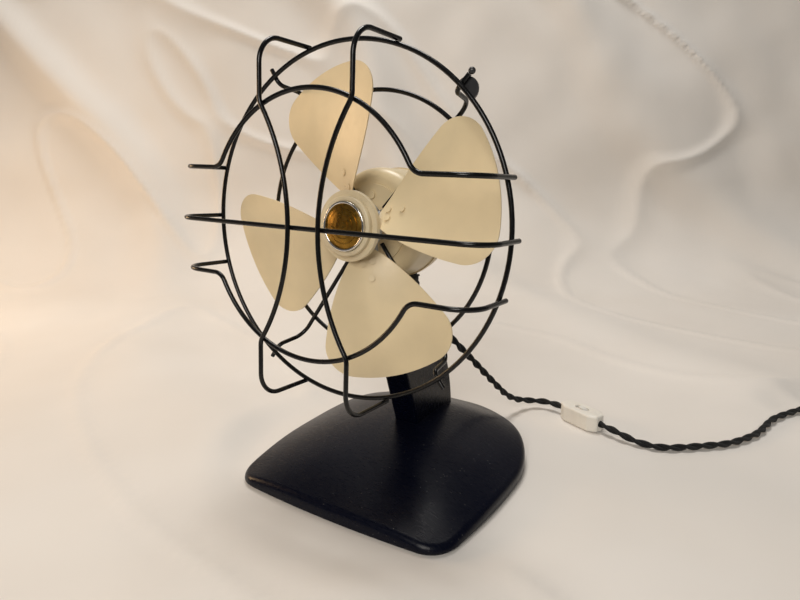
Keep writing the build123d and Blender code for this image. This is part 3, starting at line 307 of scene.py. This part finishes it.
NAVY = (0.0012, 0.0022, 0.0085)
WORN_NAVY = (0.10, 0.10, 0.11)
STEEL = (0.56, 0.57, 0.58)

looks = {
    "base_enamel": enamel("base_enamel", NAVY, WORN_NAVY, 0.25, 0.012, speck=0.6, gloss=0.16),
    "post_enamel": enamel("post_enamel", NAVY, WORN_NAVY, 0.2, 0.01, speck=0.3, gloss=0.2),
    "black_wire": enamel("black_wire", (0.003, 0.003, 0.0033), (0.06, 0.055, 0.05), 0.18, 0.01, gloss=0.35),
    "black_screw": enamel("black_screw", (0.012, 0.012, 0.013), (0.3, 0.3, 0.3), 0.35, 0.2),
    "grey_tab": enamel("grey_tab", (0.03, 0.03, 0.032), (0.2, 0.2, 0.2), 0.3, 0.2),
    "cream_enamel": enamel("cream_enamel", (0.76, 0.63, 0.40), (0.5, 0.42, 0.3), 0.3, 0.05),
    "blade_enamel": enamel("blade_enamel", (0.82, 0.67, 0.42), (0.55, 0.45, 0.32), 0.34, 0.05),
    "cream_cap": moulding("cream_cap", (0.72, 0.61, 0.41), 0.26),
    "gold_badge": gold_badge("gold_badge"),
    "chrome_rim": turned_metal("chrome_rim", (0.82, 0.8, 0.77), 0.08, spots=0.2),
    "zinc_plate": turned_metal("zinc_plate", (0.5, 0.52, 0.55), 0.38, spots=0.5),
    "screw_steel": turned_metal("screw_steel", STEEL, 0.3, spots=0.4),
    "ground_steel": turned_metal("ground_steel", STEEL, 0.16, rings=0.1),
    "boss_aluminium": turned_metal("boss_aluminium", (0.68, 0.69, 0.7), 0.3, rings=0.2),
    "bearing_bronze": turned_metal("bearing_bronze", (0.5, 0.3, 0.14), 0.42, spots=0.6),
    "contact_brass": turned_metal("contact_brass", (0.72, 0.52, 0.2), 0.22, spots=0.3),
    "lamination_steel": laminations("lamination_steel"),
    "copper_winding": winding("copper_winding"),
    "wick_felt": felt("wick_felt"),
    "washer_fibre": moulding("washer_fibre", (0.22, 0.1, 0.05), 0.7),
    "foot_rubber": moulding("foot_rubber", (0.012, 0.012, 0.012), 0.75, grain=0.3),
    "cord_rubber": moulding("cord_rubber", (0.01, 0.01, 0.01), 0.5, grain=0.2),
    "plug_rubber": moulding("plug_rubber", (0.01, 0.01, 0.01), 0.42, grain=0.2),
    "switch_plastic": moulding("switch_plastic", (0.8, 0.77, 0.7), 0.28),
    "wheel_plastic": moulding("wheel_plastic", (0.84, 0.82, 0.77), 0.3),
    "tie_black": moulding("tie_black", (0.012, 0.012, 0.012), 0.6, grain=0.2),
    "cord_cloth": braid("cord_cloth"),
}


def dress(obj, slot):
    """Gives a piece its one material."""
    if obj.data.materials:
        for index in range(len(obj.data.materials)):
            obj.data.materials[index] = looks[slot]
    else:
        obj.data.materials.append(looks[slot])


for part in frame["record"]["subparts"]:
    dress(frame["nodes"][part["node"]], part["material_slot"])


# ---------------------------------------------------------------- cords
CORD = 0.0072  # diameter over both strands
STRAND = 0.28 * CORD  # radius of one strand, a little squeezed together at the middle
TWIST = 0.034  # length of one whole turn of the pair
FLOOR = CORD / 2  # height of the cord's middle where it lies on the table
STEP = 0.0012  # distance between the rings of a strand

# The same points as the solid cord, in metres.
upper_route = [
    (0.01126, -0.00255, 0.19068),
    (0.01838, -0.00463, 0.16420),
    (0.020, 0.020, 0.143),
    (0.027, 0.052, 0.112),
    (0.036, 0.084, 0.080),
    (0.044, 0.116, 0.048),
    (0.051, 0.149, 0.018),
    (0.0635, 0.1785, 0.008),
    (0.087, 0.186, 0.009),
    (0.1068, 0.177, 0.009),
]
floor_route = [
    (0.1467, 0.1592, 0.009),
    (0.167, 0.1502, 0.009),
    (0.189, 0.1455, 0.0046),
    (0.211, 0.147, FLOOR),
    (0.230, 0.159, FLOOR),
    (0.250, 0.176, FLOOR),
    (0.269, 0.192, FLOOR),
    (0.283, 0.214, FLOOR),
    (0.294, 0.236, FLOOR),
    (0.299, 0.259, FLOOR),
    (0.305, 0.283, FLOOR),
    (0.318, 0.306, FLOOR),
    (0.335, 0.333, FLOOR),
]
tail_route = [
    (0.438, 0.353, 0.006),
    (0.448, 0.332, 0.009),
    (0.448, 0.310, 0.009),
]
coil_middle = (0.3905, 0.3398)
coil_start = 145.2  # where the cord joins the outer turn, in degrees
coil_end = 45.0  # where it leaves it for the plug
coil_radii = (0.0432, 0.036, 0.0288)  # from the outside in
coil_slots = [(radius, 0) for radius in coil_radii] + [(radius, 1) for radius in coil_radii[::-1]]
FULL_TURNS = 5
POINTS_PER_TURN = 24
CROSSING = 0.16  # share of a turn in which the cord moves over to the next slot


def smooth(share):
    """From 0 to 1 with a soft start and end."""
    share = min(max(share, 0.0), 1.0)
    return share * share * (3 - 2 * share)


def coil_turns():
    """The coil's turns: inwards along the table, up one, and outwards on top, clockwise."""
    turns = FULL_TURNS + (coil_start - coil_end) / 360
    # The spline runs inside its control points by the cosine of half a step.
    swell = 1 / math.cos(math.pi / POINTS_PER_TURN)
    count = round(turns * POINTS_PER_TURN)
    last_slot = len(coil_slots) - 1
    points = []
    for step in range(count + 1):
        turn = turns * step / count
        slot = min(int(turn), last_slot)
        share = smooth((turn - slot - (1 - CROSSING)) / CROSSING)
        radius, layer = coil_slots[slot]
        next_radius, next_layer = coil_slots[min(slot + 1, last_slot)]
        radius = (radius + (next_radius - radius) * share) * swell
        height = FLOOR + CORD * (layer + (next_layer - layer) * share)
        angle = math.radians(coil_start - 360 * turn)
        x = coil_middle[0] + radius * math.cos(angle)
        y = coil_middle[1] + radius * math.sin(angle)
        points.append((x, y, height))
    return points


def read_route(points, closeness=12):
    """Points along the smooth curve that has the route's points as its control points."""
    curve = bpy.data.curves.new("route", "CURVE")
    curve.dimensions = "3D"
    curve.resolution_u = closeness
    spline = curve.splines.new("NURBS")
    spline.points.add(len(points) - 1)
    for control, point in zip(spline.points, points):
        control.co = (*point, 1)
    spline.order_u = 3
    spline.use_endpoint_u = True
    carrier = bpy.data.objects.new("route", curve)
    collection.objects.link(carrier)
    bpy.context.view_layer.update()
    line = bpy.data.meshes.new_from_object(carrier)
    path = [vertex.co.copy() for vertex in line.vertices]
    bpy.data.objects.remove(carrier)
    return path


def even_steps(path, step):
    """The path's points again, the same distance apart, and the path's length."""
    lengths = [0.0]
    for first, second in zip(path, path[1:]):
        lengths.append(lengths[-1] + (second - first).length)
    count = max(2, round(lengths[-1] / step))
    result = []
    index = 0
    for number in range(count + 1):
        target = lengths[-1] * number / count
        while index < len(path) - 2 and lengths[index + 1] < target:
            index += 1
        span = lengths[index + 1] - lengths[index]
        share = (target - lengths[index]) / span if span else 0
        result.append(path[index].lerp(path[index + 1], share))
    return result, lengths[-1]


def frames_along(path):
    """A side direction for each point, carried along the path without twist."""
    side = (path[1] - path[0]).orthogonal().normalized()
    frames = []
    for index, point in enumerate(path):
        before = path[max(index - 1, 0)]
        after = path[min(index + 1, len(path) - 1)]
        forward = (after - before).normalized()
        side = (side - forward * side.dot(forward)).normalized()
        frames.append((point, forward, side))
    return frames


def circle(point, forward, side, radius, around):
    """A ring of points round a path, square to it."""
    other = forward.cross(side)
    ring = []
    for column in range(around):
        turn = 2 * math.pi * column / around
        ring.append(point + (side * math.cos(turn) + other * math.sin(turn)) * radius)
    return ring


def tube(verts, faces, uvs, rings, lengths):
    """Adds one closed tube over a list of rings of points."""
    start = len(verts)
    around = len(rings[0])
    girth = 2 * math.pi * STRAND
    for ring in rings:
        verts.extend(ring)
    for row in range(len(rings) - 1):
        for column in range(around):
            beside = (column + 1) % around
            corner = start + row * around
            ahead = corner + around
            faces.append((corner + column, corner + beside, ahead + beside, ahead + column))
            low, high = column / around, (column + 1) / around
            near, far = lengths[row], lengths[row + 1]
            uvs.append(((near, low * girth), (near, high * girth), (far, high * girth), (far, low * girth)))
    last = start + (len(rings) - 1) * around
    faces.append(tuple(start + column for column in reversed(range(around))))
    faces.append(tuple(last + column for column in range(around)))
    uvs.extend([((0, 0),) * around] * 2)


def make_mesh(name, verts, faces, uvs=None):
    """A smooth-shaded object from points and faces."""
    mesh = bpy.data.meshes.new(name)
    mesh.from_pydata([tuple(v) for v in verts], [], faces)
    if uvs:
        layer = mesh.uv_layers.new(name="UVMap")
        index = 0
        for corners in uvs:
            for corner in corners:
                layer.data[index].uv = corner
                index += 1
    mesh.polygons.foreach_set("use_smooth", [True] * len(mesh.polygons))
    obj = bpy.data.objects.new(name, mesh)
    collection.objects.link(obj)
    return obj


def twisted_pair(name, path, length):
    """Two round strands wound round each other along a path of even steps."""
    sides = 12
    verts, faces, uvs = [], [], []
    frames = frames_along(path)
    step = length / (len(path) - 1)
    for strand in range(2):
        rings = []
        lengths = []
        for index, (point, forward, side) in enumerate(frames):
            angle = 2 * math.pi * index * step / TWIST + math.pi * strand
            other = forward.cross(side)
            outward = side * math.cos(angle) + other * math.sin(angle)
            centre = point + outward * (CORD / 2 - STRAND)
            rings.append(circle(centre, forward, outward, STRAND, sides))
            lengths.append(index * step)
        tube(verts, faces, uvs, rings, lengths)
    return make_mesh(name, verts, faces, uvs)


def sleeve(name, path, profile, ribs):
    """A tapered strain relief along the first part of a path: profile is (distance, radius)."""
    around = 20
    bore = CORD / 2 + 0.0001
    groove = 0.0005
    step = (path[1] - path[0]).length
    reach = profile[-1][0]
    outside, inside = [], []
    for index, (point, forward, side) in enumerate(frames_along(path)):
        distance = index * step
        if distance > reach:
            break
        radius = profile[0][1]
        for (near, wide), (far, narrow) in zip(profile, profile[1:]):
            if near <= distance <= far:
                radius = wide + (narrow - wide) * (distance - near) / (far - near)
        if 0.1 * reach < distance < 0.92 * reach:
            radius -= groove * (math.cos(2 * math.pi * ribs * distance / reach) > 0.2)
        outside.append(circle(point, forward, side, radius, around))
        inside.append(circle(point, forward, side, bore, around))
    rings = outside + inside[::-1]
    faces = []
    for row in range(len(rings)):
        corner = row * around
        ahead = ((row + 1) % len(rings)) * around
        for column in range(around):
            beside = (column + 1) % around
            faces.append((corner + column, corner + beside, ahead + beside, ahead + column))
    return make_mesh(name, [point for ring in rings for point in ring], faces)


upper_path, upper_length = even_steps(read_route(upper_route), STEP)
lower_path, lower_length = even_steps(read_route(floor_route + coil_turns() + tail_route), STEP)

motor_cord = twisted_pair("motor_cord", upper_path, upper_length)
dress(motor_cord, "cord_cloth")
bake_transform(motor_cord)
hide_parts("cord_upper")

mains_cord = twisted_pair("mains_cord", lower_path, lower_length)
dress(mains_cord, "cord_cloth")
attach(mains_cord, "base")
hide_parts("cord_floor", "cord_coil", "cord_tail")

# Each sleeve starts a few steps along the cord, at the face of the motor and of the plug.
motor_profile = [(0, 0.0056), (0.006, 0.0054), (0.022, 0.0042)]
plug_profile = [(0, 0.0058), (0.008, 0.0055), (0.024, 0.0042)]
motor_relief = sleeve("motor_relief", upper_path[5:], motor_profile, ribs=5)
plug_relief = sleeve("plug_relief", lower_path[::-1][3:], plug_profile, ribs=6)
for piece, body, slot in (
    (motor_relief, "head", "cord_rubber"),
    (plug_relief, "base", "plug_rubber"),
):
    dress(piece, slot)
    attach(piece, body)


# ---------------------------------------------------------------- cloth backdrop
def fold_height(across, reach):
    """Height of the sheet's folds: soft lumps, long slanting drapes and thin creases."""
    lumps = noise.fractal(Vector((across * 2.6 + reach, reach * 2.0 - across, 0.3)), 0.9, 2.1, 3)
    slant = across * 9 + reach * 5 + 2.2 * noise.noise(Vector((across * 1.3, reach * 1.7, 5.1)))
    drape = max(math.sin(slant), 0) ** 6
    line = noise.noise(Vector((across * 3.4 + reach * 2.6, reach * 1.5 - across * 1.2, 2.7)))
    crease = max(1 - abs(line) * 14, 0) ** 2
    return 0.005 * lumps + 0.009 * drape + 0.0035 * crease


def make_backdrop():
    """A white sheet under and behind the fan, pulled flat where the object stands."""
    near_edge, length, width = -0.1, 2.4, 3.6
    table_depth = 1.15
    bend_depth = 0.35
    bend_angle = math.radians(78)
    bend_radius = bend_depth / bend_angle
    sink = 0.0004  # keeps the flat part just under the fan's pad
    rows, columns = 420, 380
    away = Vector((-0.5365, 0.8439, 0))
    aside = Vector((0.8439, 0.5365, 0))
    origin = Vector((CAMERA_X, CAMERA_Y, 0))
    verts, faces = [], []
    for row in range(rows + 1):
        reach = near_edge + length * row / rows
        turn = bend_angle * min(max((reach - table_depth) / bend_depth, 0), 1)
        beyond = max(reach - table_depth - bend_depth, 0)
        forward = min(reach, table_depth) + bend_radius * math.sin(turn) + beyond * math.cos(bend_angle)
        height = bend_radius * (1 - math.cos(turn)) + beyond * math.sin(bend_angle)
        outward = Vector((0, 0, math.cos(turn))) - away * math.sin(turn)
        for column in range(columns + 1):
            across = (column / columns - 0.5) * width
            spot = origin + away * forward + aside * across
            loose = 1 - flattening(spot)
            lift = fold_height(across, reach) * loose * (1 + 1.5 * turn) - sink
            verts.append(spot + Vector((0, 0, height)) + outward * lift)
    for row in range(rows):
        for column in range(columns):
            corner = row * (columns + 1) + column
            faces.append((corner, corner + 1, corner + columns + 2, corner + columns + 1))
    return make_mesh("backdrop", verts, faces)


def flattening(spot):
    """1 where the object and its cord lie on the sheet, 0 well away from them."""
    fan_reach, cord_reach, slope = 0.15, 0.012, 0.05
    nearest = math.hypot(spot.x, spot.y) - fan_reach
    for point in resting_points:
        nearest = min(nearest, math.hypot(spot.x - point.x, spot.y - point.y) - cord_reach)
    return 1 - smooth(nearest / slope)


def sheet_look():
    """Plain white cotton, a little uneven in tone."""
    s = Shader("backdrop_cloth")
    tone = s.grey(s.noise(3.0, 3), (0.3, 0.0), (0.7, 1.0))
    s.feed("Base Color", s.mix(tone, (0.70, 0.66, 0.61), (0.77, 0.74, 0.70)))
    s.set(Roughness=0.7, Sheen_Weight=0.2)
    soft = s.noise(14, 5, s.stretch((1, 1.6, 1)))
    return s.bump(soft, 0.1, 0.004).material


# Points of the cord that rest on the sheet or hang close above it.
resting_points = lower_path[::40] + upper_path[120:]
backdrop = make_backdrop()
backdrop.data.materials.append(sheet_look())


# ---------------------------------------------------------------- light
def area_light(name, place, target, size, power, colour):
    """A round lamp of one size in metres and power in watts, turned to its target."""
    data = bpy.data.lights.new(name, "AREA")
    data.shape = "DISK"
    data.size = size
    data.energy = power
    data.color = colour
    light = bpy.data.objects.new(name, data)
    light.location = place
    way = Vector(target) - Vector(place)
    light.rotation_mode = "QUATERNION"
    light.rotation_quaternion = way.to_track_quat("-Z", "Y")
    collection.objects.link(light)


area_light("ceiling", (-0.4, 0.5, 2.2), (0.0, 0.1, 0), 0.9, 27, (1.0, 0.96, 0.91))
area_light("warm_left", (-1.15, -0.35, 0.4), (0, 0.1, 0.1), 0.4, 4, (1.0, 0.66, 0.36))
area_light("front_fill", (0.5, -1.5, 1.1), (0, 0, 0.2), 0.9, 17, (1.0, 0.95, 0.89))

world = bpy.data.worlds.new("room")
world.use_nodes = True
background = world.node_tree.nodes["Background"]
background.inputs["Color"].default_value = (0.95, 0.92, 0.88, 1)
background.inputs["Strength"].default_value = 0.12
scene.world = world
scene.view_settings.view_transform = "Standard"
